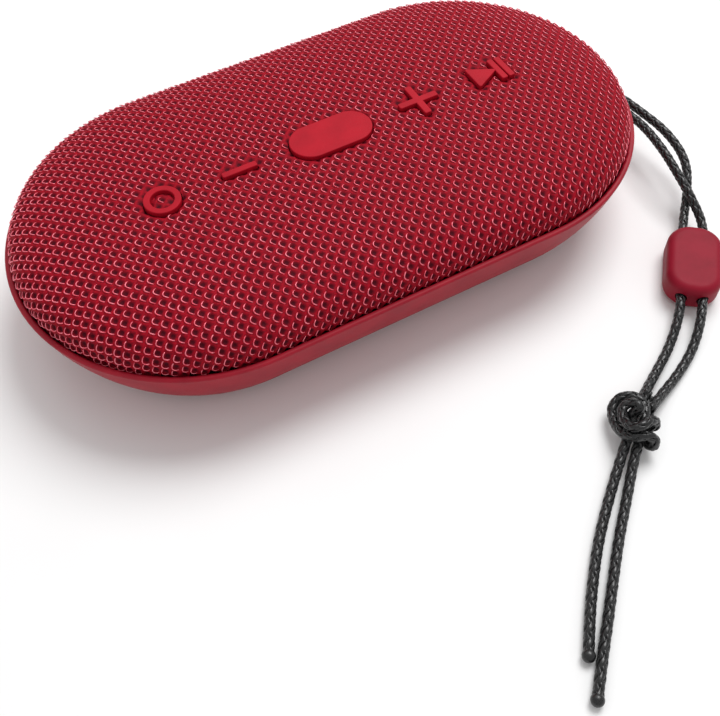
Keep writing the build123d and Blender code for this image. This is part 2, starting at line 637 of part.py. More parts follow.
def make_yoke(x):
    cup = ring_section(0, YOKE_R, YOKE_LOW, YOKE_TOP)
    cup -= ring_section(0, YOKE_R - YOKE_WALL, YOKE_LOW + YOKE_WALL, YOKE_TOP + 1)
    return turned(cup, x)


def make_magnet(x):
    return turned(ring_section(0, MAGNET_R, YOKE_LOW + YOKE_WALL, YOKE_LOW + YOKE_WALL + MAGNET), x)


def make_top_plate(x):
    low = YOKE_LOW + YOKE_WALL + MAGNET
    return turned(ring_section(0, TOP_PLATE_R, low, low + TOP_PLATE), x)


def make_coil(x):
    return turned(ring_section(COIL_INNER_R, COIL_INNER_R + COIL_WALL, COIL_TOP - COIL_HEIGHT, COIL_TOP), x)


def make_cone(x):
    lip = CONE_TOP - PAPER
    neck = COIL_INNER_R + COIL_WALL + 0.3
    section = polygon((COIL_INNER_R, COIL_TOP), (neck, COIL_TOP), (CONE_R - CONE_LIP, lip - 0.1),
                      (CONE_R, lip - 0.1), (CONE_R, CONE_TOP), (CONE_R - CONE_LIP - 0.1, CONE_TOP),
                      (COIL_INNER_R, COIL_TOP + PAPER))
    return turned(section, x)


def roll_section(inner_foot, inner, outer, outer_foot, base_z):
    """A half-round roll of rubber between two flat feet."""
    middle = (inner + outer) / 2
    half = (outer - inner) / 2
    roll = Pos(middle, base_z) * (Circle(half) - Circle(half - ROLL_SKIN))
    roll &= Pos(middle, base_z + half) * Rectangle(2 * half, 2 * half)
    feet = ring_section(inner_foot, inner + ROLL_SKIN, base_z, base_z + ROLL_SKIN)
    feet += ring_section(outer - ROLL_SKIN, outer_foot, base_z, base_z + ROLL_SKIN)
    return roll + feet


def make_surround(x):
    section = roll_section(CONE_R - CONE_LIP, CONE_R - 0.1, CONE_R + SURROUND_ROLL,
                           FLANGE_R - SURROUND_FOOT_INSET, CONE_TOP)
    return turned(section, x)


def make_spider(x):
    inner = COIL_INNER_R + COIL_WALL + RUNNING
    return turned(ring_section(inner, SPIDER_SHELF[1] - FIT, SPIDER_Z, SPIDER_Z + SPIDER), x)


def make_dust_cap(x):
    rim_r, rise, skin = DUST_CAP
    low_z = COIL_TOP + PAPER + DUST_CAP_LIFT
    radius = (rim_r ** 2 + rise ** 2) / (2 * rise)
    ball = Pos(0, low_z + rise - radius) * (Circle(radius) - Circle(radius - skin))
    half = Pos(rim_r / 2, low_z + rise / 2) * Rectangle(rim_r, rise)
    return turned(ball & half, x)


def make_radiator_surround():
    section = roll_section(RADIATOR_PLATE_R - 1.2, RADIATOR_PLATE_R - 0.1, RADIATOR_HOLE_R + 0.2,
                           RADIATOR_FOOT_R, BAFFLE_TOP)
    return Rot(0, 0, 90) * racetrack(section, RADIATOR_HALF)


def make_radiator_plate():
    section = ring_section(0, RADIATOR_PLATE_R, BAFFLE_TOP - RADIATOR_PLATE, BAFFLE_TOP)
    return Rot(0, 0, 90) * racetrack(section, RADIATOR_HALF)


# ================================================================ electronics
def make_main_board():
    board = block((-MAIN_BOARD_HALF, BOARD_BACK_Y, MAIN_BOARD_Z),
                  (MAIN_BOARD_HALF, BOARD_FRONT_Y, MAIN_BOARD_TOP))
    for x, y in main_board_places():
        board -= post(x, y, SMALL_SCREW_R + 0.2, 0, CROWN_Z)
    return board


def make_usb_port():
    shell = RectangleRounded(USB_WIDTH, USB_HEIGHT, 1.5)
    mouth = RectangleRounded(USB_WIDTH - 0.6, USB_HEIGHT - 0.6, 1.25)
    z = MAIN_BOARD_TOP + USB_HEIGHT / 2 + FIT / 2
    port = along_y(shell, USB_X, z, POCKET_Y - USB_DEPTH, POCKET_Y)
    port -= along_y(mouth, USB_X, z, POCKET_Y - USB_DEPTH + 1, POCKET_Y)
    return port + along_y(Rectangle(6.7, 0.7), USB_X, z, POCKET_Y - USB_DEPTH + 1, POCKET_Y - 0.8)


def make_aux_jack():
    z = MAIN_BOARD_TOP + AUX_HEIGHT / 2
    front = BOARD_FRONT_Y
    jack = along_y(Rectangle(AUX_WIDTH, AUX_HEIGHT), AUX_X, z, front - AUX_DEPTH + 1.4, front)
    jack += along_y(Circle(AUX_BARREL_R), AUX_X, z, front, POCKET_Y)
    return jack - along_y(Circle(AUX_BORE_R), AUX_X, z, POCKET_Y - AUX_DEPTH, POCKET_Y)


def on_board(x, y, size):
    return Pos(x, y, MAIN_BOARD_TOP + size[2] / 2) * Box(*size)


def make_battery():
    length, width, height = BATTERY
    cell = Pos(0, BATTERY_Y, FLOOR_Z + height / 2) * Box(length, width, height)
    return fillet(cell.edges().filter_by(Axis.X), 1.5)


def bend_radii(points):
    """Each bend as wide as its two runs allow."""
    radii = []
    for before, at, after in zip(points, points[1:], points[2:]):
        arriving = Vector(*at) - Vector(*before)
        leaving = Vector(*after) - Vector(*at)
        turn = math.radians(arriving.get_angle(leaving))
        radii.append(0.45 * min(arriving.length, leaving.length) / math.tan(turn / 2))
    return radii


def tube(path, diameter):
    return sweep((path ^ 0) * Circle(diameter / 2), path=path)


def wire(points):
    return tube(FilletPolyline(*points, radius=bend_radii(points)), LEAD_D)


def make_battery_leads():
    start = BATTERY_Y + BATTERY[1] / 2 + 0.3
    return group(wire([(x, start, 8.2), (x, start + 2.6, 9.6), (x, start + 5.6, 10.0),
                       (x, start + 9.0, LEAD_Z)]) for x in (-1.2, 1.2))


def make_speaker_leads():
    route = [(33.0, 13.4, 12.0), (30.4, 16.6, 10.8), (27.2, 20.0, 9.2), (23.4, 22.2, LEAD_Z)]
    return group(wire([(side * x, y + step, z) for x, y, z in route])
                 for name, side in SIDES for step in (0, 1.6))


# ================================================================ lanyard
def make_cord(name, points, first=None):
    """A cord's tube. Its bend radii, length and volume are printed."""
    radii = bend_radii(points)
    if first:
        radii[0] = first
    path = FilletPolyline(*points, radius=radii)
    solid = tube(path, CORD_D)
    full = math.pi * CORD_D ** 2 / 4 * path.length
    print(name, "bend radii", [round(radius, 1) for radius in radii])
    print(name, "length", round(path.length, 1), "volume over full", round(solid.volume / full, 4))
    return solid


def make_bead():
    length, width, height = BEAD
    outline = RectangleRounded(length, width, BEAD_CORNER)
    body = extrude(outline, amount=height / 2, both=True)
    rims = body.edges().group_by(Axis.Z)
    body = fillet(rims[0] + rims[-1], BEAD_EDGE)
    for side in (-1, 1):
        body -= Pos(0, side * BEAD_HOLE_SPACING / 2, 0) * Rot(0, 90, 0) * Cylinder(BEAD_HOLE_R, length + 2)
    return Pos(*BEAD_CENTRE) * Rot(0, 0, BEAD_HEADING) * body


def make_knot():
    half = Ellipse(KNOT_LONG, KNOT_R) & Pos(0, KNOT_R / 2) * Rectangle(2 * KNOT_LONG, KNOT_R)
    lump = revolve(half, Axis.X, 360)
    return Pos(*KNOT_CENTRE) * Rot(0, 0, BEAD_HEADING) * lump


# ================================================================ every node
nodes = {
    "base_shell": make_base_shell(),
    "foot_ring": make_foot_ring(),
    "fabric_cover": make_fabric_cover(),
    "grille_frame": make_grille_frame(),
    "port_cover": make_port_cover(),
    "lanyard_pin": make_lanyard_pin(),
    "baffle": make_baffle(),
    "baffle_seal": make_baffle_seal(),
    "button_board": make_button_board(),
    "tact_switch_bodies": make_switch_bodies(),
    "button_flex": make_button_flex(),
    "status_led": make_status_led(),
    "power_fabric_disc": make_power_fabric_disc(),
    "driver_magnets": group(make_magnet(side * DRIVER_X) for name, side in SIDES),
    "driver_top_plates": group(make_top_plate(side * DRIVER_X) for name, side in SIDES),
    "radiator_surround": make_radiator_surround(),
    "radiator_plate": make_radiator_plate(),
    "main_board": make_main_board(),
    "bluetooth_module": on_board(-13.0, BOARD_BACK_Y + 6.2, (12.0, 9.0, 2.0)),
    "amplifier_chip": on_board(14.5, BOARD_BACK_Y + 4.6, (6.0, 6.0, 1.1)),
    "usb_port": make_usb_port(),
    "aux_jack": make_aux_jack(),
    "battery_cell": make_battery(),
    "battery_leads": make_battery_leads(),
    "speaker_leads": make_speaker_leads(),
    "case_screws": group(screw(x, y, UNDERSIDE_Z + WALL, CASE_SCREW_R, 16.0, head_up=False)
                         for x, y in case_places()),
    "baffle_screws": group(screw(x, y, BAFFLE_TOP, SMALL_SCREW_R, 8.0) for x, y in baffle_places()),
    "driver_screws": group(screw(x, y, CONE_TOP, TINY_SCREW_R, 3.4)
                           for name, side in SIDES for x, y in driver_screw_places(side * DRIVER_X)),
    "button_board_screws": group(screw(x, BUTTON_Y, BUTTON_BOARD_TOP - BOARD, SMALL_SCREW_R, 4.2,
                                       head_up=False) for x in BOARD_POST_X),
    "main_board_screws": group(screw(x, y, MAIN_BOARD_TOP, SMALL_SCREW_R, 3.8)
                               for x, y in main_board_places()),
    "lanyard_strand_a": make_cord("strand_a", STRAND_A, PIN_FILLET),
    "lanyard_strand_b": make_cord("strand_b", STRAND_B, PIN_FILLET),
    "lanyard_tail_a": make_cord("tail_a", TAIL_A),
    "lanyard_tail_b": make_cord("tail_b", TAIL_B),
    "lanyard_knot": make_knot(),
    "lanyard_bead": make_bead(),
}
for name, x, sign, stem, aside in BUTTONS:
    nodes[name + "_button"] = make_button(x, sign, stem)
    nodes[name + "_plunger"] = make_plunger(x, aside)
for name, side in SIDES:
    for piece, make in (("basket", make_basket), ("yoke", make_yoke), ("voice_coil", make_coil),
                        ("cone", make_cone), ("surround", make_surround), ("spider", make_spider),
                        ("dust_cap", make_dust_cap)):
        nodes[name + "_" + piece] = make(side * DRIVER_X)

os.makedirs("parts", exist_ok=True)
for name, shape in nodes.items():
    shape.label = name
    export_step(shape, "parts/" + name + ".step")
print(len(nodes), "nodes")
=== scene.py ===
"""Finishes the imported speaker: the woven cover, the braided lanyard and the look of every piece."""
import json
import math

import bpy
import numpy as np
from mathutils import Matrix, Vector

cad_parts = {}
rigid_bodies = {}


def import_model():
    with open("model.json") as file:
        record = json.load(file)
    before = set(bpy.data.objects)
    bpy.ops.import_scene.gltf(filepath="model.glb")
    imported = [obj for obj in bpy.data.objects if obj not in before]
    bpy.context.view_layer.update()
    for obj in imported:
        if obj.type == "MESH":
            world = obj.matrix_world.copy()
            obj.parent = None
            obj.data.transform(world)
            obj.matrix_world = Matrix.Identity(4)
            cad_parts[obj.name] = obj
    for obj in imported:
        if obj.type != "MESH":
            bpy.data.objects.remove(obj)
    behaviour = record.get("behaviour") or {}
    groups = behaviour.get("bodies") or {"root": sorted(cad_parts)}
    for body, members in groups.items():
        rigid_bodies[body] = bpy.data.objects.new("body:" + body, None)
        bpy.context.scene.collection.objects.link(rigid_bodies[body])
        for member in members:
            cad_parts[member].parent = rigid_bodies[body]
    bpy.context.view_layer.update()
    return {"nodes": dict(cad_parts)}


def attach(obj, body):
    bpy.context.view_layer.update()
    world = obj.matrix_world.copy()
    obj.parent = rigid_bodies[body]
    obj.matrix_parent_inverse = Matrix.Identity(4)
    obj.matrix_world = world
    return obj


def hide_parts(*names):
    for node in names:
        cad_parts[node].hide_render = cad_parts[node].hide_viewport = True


MM = 0.001

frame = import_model()

# ---- camera ----
eye = (-71.41 * MM, -156.12 * MM, 186.72 * MM)
right = (0.87823, -0.47742, -0.02796)
above = (0.40728, 0.71600, 0.56699)
behind = (-0.25067, -0.50934, 0.82325)
camera_data = bpy.data.cameras.new("camera")
camera_data.sensor_width = 36.0
camera_data.lens = 46.0
camera_data.clip_start = 0.01
camera = bpy.data.objects.new("camera", camera_data)
bpy.context.scene.collection.objects.link(camera)
camera.matrix_world = Matrix.Translation(eye) @ Matrix((right, above, behind)).transposed().to_4x4()
bpy.context.scene.camera = camera

# ---- sizes, millimetres ----
HALF_STRAIGHT = 36.4
DOME_R = 44.707            # cover's outer radius where it meets the lip
RIM_Z = 23.0
DOME_RISE = 11.1
TUCK = 1.2                 # how far the cloth goes down behind the lip

BRAID_PITCH = 13.0         # one turn of a yarn bundle round the cord
BUNDLES = 4                # each way round
BUNDLE_R = 0.86            # bundle's middle from the cord's middle
BUNDLE_LIFT = 0.12         # over and under its neighbours
BUNDLE_HALF = (0.66, 0.26)  # half width and half thickness
BRAID_STEP = 0.45

# ---- lanyard routes, millimetres ----
STRAND_A = [(72.75, 0.0, 9.6), (72.75, 2.45, 9.6), (84.2, 2.9, 9.8), (90.2, -2.6, 10.3), (91.0, -12.0, 10.8),
            (92.3, -22.5, 10.5), (91.4, -32.6, 8.5), (86.3, -40.1, 5.6), (80.2, -46.3, 4.0), (73.5, -54.0, 4.06),
            (66.2, -62.5, 4.06), (59.6, -70.1, 4.0), (52.2, -76.0, 1.6), (43.8, -80.7, 1.7), (38.3, -83.8, 3.2),
            (34.8, -86.0, 4.3)]
STRAND_B = [(72.75, 0.0, 9.6), (72.75, -2.45, 9.6), (82.2, -2.8, 9.8), (87.4, -7.6, 10.3), (88.0, -17.2, 10.9),
            (86.2, -28.0, 11.2), (84.7, -36.6, 9.9), (84.2, -42.9, 7.8), (83.8, -50.1, 4.0), (77.5, -57.4, 4.06),
            (70.0, -66.1, 4.06), (63.5, -73.6, 4.0), (56.8, -79.3, 1.5), (48.6, -83.4, 1.35), (41.2, -86.2, 2.3),
            (35.4, -88.7, 4.1)]
TAIL_A = [(26.6, -91.9, 3.9), (22.7, -94.9, 2.4), (14.8, -101.3, 1.35), (7.1, -107.9, 1.3), (0.6, -114.6, 1.3),
          (-5.2, -121.2, 1.3), (-9.8, -127.1, 1.3)]
TAIL_B = [(28.8, -93.4, 3.8), (25.2, -96.4, 2.4), (18.2, -103.2, 1.35), (10.9, -109.9, 1.3), (4.2, -116.7, 1.3),
          (-2.0, -123.1, 1.3), (-7.4, -128.5, 1.3), (-13.4, -134.8, 1.3)]


KNOT_CENTRE = (30.4, -89.4, 5.35)
# each strand's way through the overhand knot: across and up as the camera sees it, and height
KNOT_A = [(4.3, 6.0, 4.6), (2.9, 4.1, 3.4), (1.4, 1.2, 2.3), (2.4, -1.8, 2.4), (4.2, -2.2, 4.6), (3.6, -0.2, 7.2),
          (1.2, -0.6, 8.8), (-1.0, -2.0, 8.6), (-3.0, -1.4, 7.0), (-3.4, 1.2, 6.0), (-2.2, 3.3, 6.8), (0.1, 3.5, 8.0),
          (0.8, 2.0, 7.8), (-0.9, 1.4, 6.4), (-0.9, -0.8, 4.8), (-0.9, -2.9, 4.3), (-2.6, -5.2, 3.7)]
KNOT_B = [(5.3, 4.4, 3.2), (4.5, 2.2, 2.4), (4.2, -0.4, 1.7), (3.4, -3.0, 1.6), (2.0, -5.4, 1.8), (3.3, -6.6, 3.2), (3.4, -4.6, 5.6),
          (1.0, -3.4, 7.0), (-1.6, -4.2, 6.4), (-3.8, -3.4, 4.6), (-4.7, -0.4, 3.2), (-4.3, 2.8, 3.6),
          (-1.9, 4.9, 5.0), (0.9, 4.8, 5.6), (2.8, 2.8, 5.2), (2.4, 0.6, 4.8), (1.4, -1.4, 4.4), (1.1, -3.3, 3.9),
          (0.4, -5.4, 3.4)]


def linear(code):
    """An sRGB hex colour as the linear values a shader takes."""
    parts = [int(code[i:i + 2], 16) / 255 for i in (0, 2, 4)]
    return tuple(p / 12.92 if p <= 0.04045 else ((p + 0.055) / 1.055) ** 2.4 for p in parts) + (1.0,)


def node(material, kind, inputs=(), **settings):
    """Adds a node with its settings, and gives each input a value or a link."""
    made = material.node_tree.nodes.new(kind)
    for key, value in settings.items():
        setattr(made, key, value)
    for key, value in dict(inputs).items():
        if isinstance(value, bpy.types.NodeSocket):
            material.node_tree.links.new(value, made.inputs[key])
        else:
            made.inputs[key].default_value = value
    return made


def start(name):
    """An empty material, its Principled shader and its object coordinates."""
    material = bpy.data.materials.new(name)
    material.use_nodes = True
    place = node(material, "ShaderNodeTexCoord").outputs["Object"]
    return material, material.node_tree.nodes["Principled BSDF"], place


def join(material, source, shader, socket):
    material.node_tree.links.new(source, shader.inputs[socket])


def surface(name, pale, deep, grain, relief, rough, patch=6.0, **sockets):
    """A moulded, cast or pressed finish. Its colour wanders from pale to deep over patches of that many
    millimetres, and its skin is grain mm from bump to bump and relief mm deep."""
    material, shader, place = start(name)
    clouds = node(material, "ShaderNodeTexNoise", {"Vector": place, "Scale": 1 / (patch * MM), "Detail": 3.0})
    skin = node(material, "ShaderNodeTexNoise", {"Vector": place, "Scale": 1 / (grain * MM), "Detail": 2.0})
    ramp = node(material, "ShaderNodeValToRGB", {"Fac": clouds.outputs["Fac"]})
    ramp.color_ramp.elements[0].color = linear(deep)
    ramp.color_ramp.elements[0].position = 0.3
    ramp.color_ramp.elements[1].color = linear(pale)
    ramp.color_ramp.elements[1].position = 0.7
    join(material, ramp.outputs["Color"], shader, "Base Color")
    gloss = node(material, "ShaderNodeMapRange", {"Value": skin.outputs["Fac"], "To Min": rough[0], "To Max": rough[1]})
    join(material, gloss.outputs["Result"], shader, "Roughness")
    bump = node(material, "ShaderNodeBump", {"Height": skin.outputs["Fac"], "Distance": relief * MM, "Strength": 1.0})
    join(material, bump.outputs["Normal"], shader, "Normal")
    for key, value in sockets.items():
        shader.inputs[key.replace("_", " ")].default_value = value
    return material


# ---- braided cord ----
def spline_points(route):
    """The smooth line that a route's points control, in metres."""
    curve = bpy.data.curves.new("route", "CURVE")
    curve.dimensions = "3D"
    curve.resolution_u = 16
    spline = curve.splines.new("NURBS")
    spline.points.add(len(route) - 1)
    for point, place in zip(spline.points, route):
        point.co = (place[0] * MM, place[1] * MM, place[2] * MM, 1.0)
    spline.order_u = 3
    spline.use_endpoint_u = True
    bare = bpy.data.objects.new("route", curve)
    mesh = bpy.data.meshes.new_from_object(bare)
    line = np.array([vertex.co for vertex in mesh.vertices])
    bpy.data.objects.remove(bare)
    bpy.data.curves.remove(curve)
    bpy.data.meshes.remove(mesh)
    return line


def evenly(line, step):
    """The line again, with points a step apart."""
    along = np.concatenate([[0], np.cumsum(np.linalg.norm(np.diff(line, axis=0), axis=1))])
    at = np.linspace(0, along[-1], int(along[-1] / step) + 2)
    return np.stack([np.interp(at, along, line[:, k]) for k in range(3)], 1), at


def frames(line):
    """Forward and two side directions at each point, turning as little as they can."""
    forward = np.gradient(line, axis=0)
    forward /= np.linalg.norm(forward, axis=1)[:, None]
    side = np.cross(forward[0], (0.0, 0.0, 1.0))
    sides = []
    for f in forward:
        side = side - f * side.dot(f)
        side = side / np.linalg.norm(side)
        sides.append(side)
    sides = np.array(sides)
    return forward, sides, np.cross(forward, sides)


def tube_faces(rings, around, first):
    """Quads between rings of points, and a cap at each end."""
    ring, k = np.meshgrid(np.arange(rings - 1), np.arange(around), indexing="ij")
    a = first + ring * around + k
    b = first + ring * around + (k + 1) % around
    quads = np.stack([a, b, b + around, a + around], -1).reshape(-1, 4).tolist()
    last = first + (rings - 1) * around
    return quads + [list(range(first + around - 1, first - 1, -1)), list(range(last, last + around))]


def braid(name, line, step=BRAID_STEP):
    """A round braid along a line: bundles of yarn that go both ways round a core, over one and under one."""
    fine, at = evenly(line, step * MM)
    forward, side, up = frames(fine)
    points, faces, uvs = [], [], []
    turn = 2 * math.pi * at / (BRAID_PITCH * MM)
    weave = np.cos(BUNDLES * turn)
    core = BUNDLE_R * MM
    around = 8
    for k in range(around):
        angle = 2 * math.pi * k / around
        points.append(fine + core * (math.cos(angle) * side + math.sin(angle) * up))
    points = [np.stack(points, 1).reshape(-1, 3)]
    faces += tube_faces(len(fine), around, 0)
    count = len(points[0])
    section = [(math.cos(t) * BUNDLE_HALF[0] * MM, math.sin(t) * BUNDLE_HALF[1] * MM)
               for t in np.arange(6) * math.pi / 3]
    for way in (1, -1):
        for bundle in range(BUNDLES):
            angle = way * turn + 2 * math.pi * bundle / BUNDLES
            out = np.cos(angle)[:, None] * side + np.sin(angle)[:, None] * up
            r = (BUNDLE_R + way * BUNDLE_LIFT * weave) * MM
            middle = fine + r[:, None] * out
            run = np.gradient(middle, axis=0)
            run /= np.linalg.norm(run, axis=1)[:, None]
            across = np.cross(out, run)
            ring = np.stack([middle - u * across + v * out for u, v in section], 1).reshape(-1, 3)
            points.append(ring)
            faces += tube_faces(len(fine), 6, count)
            count += len(ring)
    mesh = bpy.data.meshes.new(name)
    mesh.from_pydata(np.concatenate(points).tolist(), [], faces)
    mesh.polygons.foreach_set("use_smooth", np.ones(len(mesh.polygons), bool))
    made = bpy.data.objects.new(name, mesh)
    bpy.context.scene.collection.objects.link(made)
    return made


def knot_line(points):
    """Points given across and up the camera's view of the knot and by height, as places in the model."""
    across, up, toward = np.array(right), np.array(above), np.array(behind)
    lift = [(z - KNOT_CENTRE[2] - a * across[2] - b * up[2]) / toward[2] for a, b, z in points]
    return [tuple(np.array(KNOT_CENTRE) + a * across + b * up + c * toward) for (a, b, z), c in zip(points, lift)]


def melted_tip(name, place, along):
    """The blob left where a cord's end was melted so that it won't fray."""
    bpy.ops.object.select_all(action="DESELECT")
    bpy.ops.mesh.primitive_uv_sphere_add(segments=20, ring_count=12, radius=1.42 * MM, location=[v * MM for v in place])
    tip = bpy.context.active_object
    tip.name = name
    bpy.ops.object.mode_set(mode="EDIT")
    bpy.ops.transform.resize(value=(1.12, 1.12, 0.96))
    bpy.ops.mesh.select_random(ratio=0.4, seed=along)
    bpy.ops.transform.resize(value=(0.93, 0.93, 0.95))
    bpy.ops.object.mode_set(mode="OBJECT")
    smooth = tip.modifiers.new("rounding", "SUBSURF")
    smooth.levels = smooth.render_levels = 1
    bpy.ops.object.modifier_apply(modifier=smooth.name)
    bpy.ops.object.transform_apply(location=True, rotation=True, scale=True)
    bpy.ops.object.shade_smooth()
    return tip


lanyard = {}
for name, route in (("lanyard_cord_a", STRAND_A), ("lanyard_cord_b", STRAND_B),
                    ("tail_cord_a", TAIL_A), ("tail_cord_b", TAIL_B)):
    line = spline_points(route)
    lanyard[name] = braid(name, line), line
knot = braid("overhand_knot", spline_points(knot_line(KNOT_A)))
other = braid("knot_strand_b", spline_points(knot_line(KNOT_B)))
bpy.ops.object.select_all(action="DESELECT")
other.select_set(True)
knot.select_set(True)
bpy.context.view_layer.objects.active = knot
bpy.ops.object.join()
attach(knot, "speaker")
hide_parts("lanyard_knot")
tips = [melted_tip("tail_tip_a", TAIL_A[-1][:2] + (1.5,), 3), melted_tip("tail_tip_b", TAIL_B[-1][:2] + (1.5,), 5)]


def declare_cord(name, node_name):
    piece, line = lanyard[name]
    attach(piece, "speaker")
    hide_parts(node_name)


for tip in tips:
    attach(tip, "speaker")
declare_cord("lanyard_cord_a", "lanyard_strand_a")
declare_cord("lanyard_cord_b", "lanyard_strand_b")
declare_cord("tail_cord_a", "lanyard_tail_a")
declare_cord("tail_cord_b", "lanyard_tail_b")

# ---- woven cover ----
CELL = ((1.55, -1.6), (1.55, 1.6))   # from one pit of the weave to the next, both ways
RINGS = ((0.15, -0.50, 0.0), (0.33, -0.22, 0.55))  # half size of a pit in cells, height in mm, and painted shade level of the cloth there, 0 the darkest
SHARED = (-0.12, 1.0)      # height, and painted shade level (1, no shade) where four pits meet
# the yarn's loop round two sides of a pit, in cells, and its height in mm; its pale pink colour is painted highlight
LOOP = ((-0.30, 0.33, -0.28), (-0.36, 0.12, -0.02), (-0.36, -0.12, 0.10), (-0.29, -0.28, 0.13),
        (-0.12, -0.36, 0.10), (0.12, -0.36, -0.02), (0.33, -0.30, -0.28))
LOOP_HALF = (0.13, 0.11)   # half width and half thickness of the yarn
PIT_CORNER = 0.80          # how round a pit is
EDGE_TUCK = 0.45
EDGE_WIDTH = 1.0
BUTTON_GAP = 0.25
BUTTON_Y = -0.5
EIGHT = np.array([(1, 0), (1, 1), (0, 1), (-1, 1), (-1, 0), (-1, -1), (0, -1), (1, -1)])


def dome_profile():
    """Distance along the cloth from the crown, then radius, height and outward direction there."""
    turn = np.linspace(0, math.pi / 2, 500)
    r = DOME_R * np.sin(turn) ** (2 / 3)
    rise = DOME_RISE * np.maximum(np.cos(turn), 0) ** (2 / 3)
    out = r ** 2 / DOME_R ** 3
    upward = rise ** 2 / DOME_RISE ** 3
    size = np.hypot(out, upward)
    r, z = np.append(r, DOME_R - 0.08), np.append(RIM_Z + rise, RIM_Z - TUCK)
    out, upward = np.append(out / size, 1.0), np.append(upward / size, 0.0)
    along = np.concatenate([[0], np.cumsum(np.hypot(np.diff(r), np.diff(z)))])
    return along, r, z, out, upward


ALONG, PROFILE_R, PROFILE_Z, PROFILE_OUT, PROFILE_UP = dome_profile()


def on_cover(flat, height):
    """Carries points of the flat cloth onto the dome, some height above its surface."""
    middle = np.clip(flat[:, 0], -HALF_STRAIGHT, HALF_STRAIGHT)
    away = np.stack([flat[:, 0] - middle, flat[:, 1]], 1)
    far = np.maximum(np.linalg.norm(away, axis=1), 1e-6)
    at = np.minimum(far, ALONG[-1])
    out = away / far[:, None]
    r = np.interp(at, ALONG, PROFILE_R) + np.interp(at, ALONG, PROFILE_OUT) * height
    z = np.interp(at, ALONG, PROFILE_Z) + np.interp(at, ALONG, PROFILE_UP) * height
    return np.stack([middle + out[:, 0] * r, out[:, 1] * r, z], 1) * MM


def from_box(p, half_x, half_y, corner):
    """Distance from a box with rounded corners, less than 0 inside it."""
    q = np.abs(p) - (half_x - corner, half_y - corner)
    return np.linalg.norm(np.maximum(q, 0), axis=1) + np.minimum(q.max(axis=1), 0) - corner


def from_buttons(p):
    """Distance from the nearest button's outline, less than 0 inside it."""
    def at(x):
        return p - (x, BUTTON_Y)
    slope = math.hypot(7.4, 4.0)
    play = at(40.6)
    triangle = np.maximum(-play[:, 0], (np.abs(play[:, 1]) * 7.4 + (play[:, 0] - 7.4) * 4.0) / slope)
    return np.min([np.linalg.norm(at(-43.5), axis=1) - 4.45,
                   from_box(at(-24.0), 4.45, 0.85, 0.45),
                   from_box(at(0.3), 10.75, 5.5, 5.5),
                   from_box(at(24.7), 5.4, 0.95, 0.45),
                   from_box(at(24.7), 0.95, 5.4, 0.45),
                   triangle,
                   from_box(at(40.6 + 8.575), 1.875, 4.0, 0.45)], axis=0)


def outside_cover(p):
    return BUTTON_GAP - from_buttons(p)


def outside_disc(p):
    return np.linalg.norm(p - (-43.5, BUTTON_Y), axis=1) - 2.75


def weave(name, outside, reach, seed):
    """Cloth with a square lattice of rounded pits, cut where outside is more than 0."""
    cells = np.array([(i, j) for i in range(-75, 76) for j in range(-75, 76)])
    step = np.array(CELL)
    centre = cells @ step
    middle = np.clip(centre[:, 0], -HALF_STRAIGHT, HALF_STRAIGHT)
    far = np.hypot(centre[:, 0] - middle, centre[:, 1])
    keep = (far < ALONG[-1] - 0.3) & (outside(centre) < reach)
    cells, centre = cells[keep], centre[keep]
    dice = np.random.default_rng(seed)
    flat, height, painted_shade_level = [], [], []
    for half, high, painted_shade_value in RINGS:
        ring = EIGHT * np.where(np.abs(EIGHT).sum(1) > 1, PIT_CORNER, 1.0)[:, None] * half
        flat.append(centre[:, None, :] + (ring @ step)[None])
        height.append(np.full((len(cells), 8), high))
        painted_shade_level.append(np.full((len(cells), 8), painted_shade_value))
    own = len(RINGS) * 8
    flat = np.concatenate(flat, 1).reshape(-1, 2)
    keys, shared = np.unique((2 * cells[:, None, :] + EIGHT[None]).reshape(-1, 2), axis=0, return_inverse=True)
    shared = shared.reshape(-1, 8) + len(flat)
    flat = np.concatenate([flat, keys @ step / 2])
    height = np.concatenate([np.concatenate(height, 1).reshape(-1), np.full(len(keys), SHARED[0])])
    painted_shade_level = np.concatenate([np.concatenate(painted_shade_level, 1).reshape(-1), np.full(len(keys), SHARED[1])])
    flat += dice.normal(0, 0.035, flat.shape)
    height += dice.normal(0, 0.022, len(height))
    beyond = outside(flat)
    cut = beyond > 0
    for _ in range(3):
        away = outside(flat)
        slope = np.stack([outside(flat + (0.02, 0)) - away, outside(flat + (0, 0.02)) - away], 1) / 0.02
        size = np.maximum(np.linalg.norm(slope, axis=1), 1e-6)[:, None]
        flat -= slope / size * np.maximum(away, 0)[:, None]
    height -= EDGE_TUCK * np.clip(1 + beyond / EDGE_WIDTH, 0, 1) ** 2
    index = np.arange(len(cells))[:, None] * own
    rings = [index + 8 * k + np.arange(8)[None] for k in range(len(RINGS))] + [shared]
    faces = rings[0].tolist()
    for inner, outer in zip(rings, rings[1:]):
        quads = np.stack([inner, outer, np.roll(outer, -1, 1), np.roll(inner, -1, 1)], -1)
        faces += quads.reshape(-1, 4).tolist()
    faces = [face for face in faces if not cut[face].all()]
    used = np.unique(np.concatenate([np.array(face) for face in faces]))
    renumber = np.full(len(flat), -1)
    renumber[used] = np.arange(len(used))
    faces = [renumber[face].tolist() for face in faces]
    mesh = bpy.data.meshes.new(name)
    mesh.from_pydata(on_cover(flat[used], height[used]).tolist(), [], faces)
    mesh.polygons.foreach_set("use_smooth", np.ones(len(mesh.polygons), bool))
    # painted shade level of each point, darkest down in the pits
    painted_light_yarn = mesh.attributes.new("painted_light_yarn", "FLOAT", "POINT")
    painted_light_yarn.data.foreach_set("value", painted_shade_level[used].astype(np.float32))
    made = bpy.data.objects.new(name, mesh)
    bpy.context.scene.collection.objects.link(made)
    return made


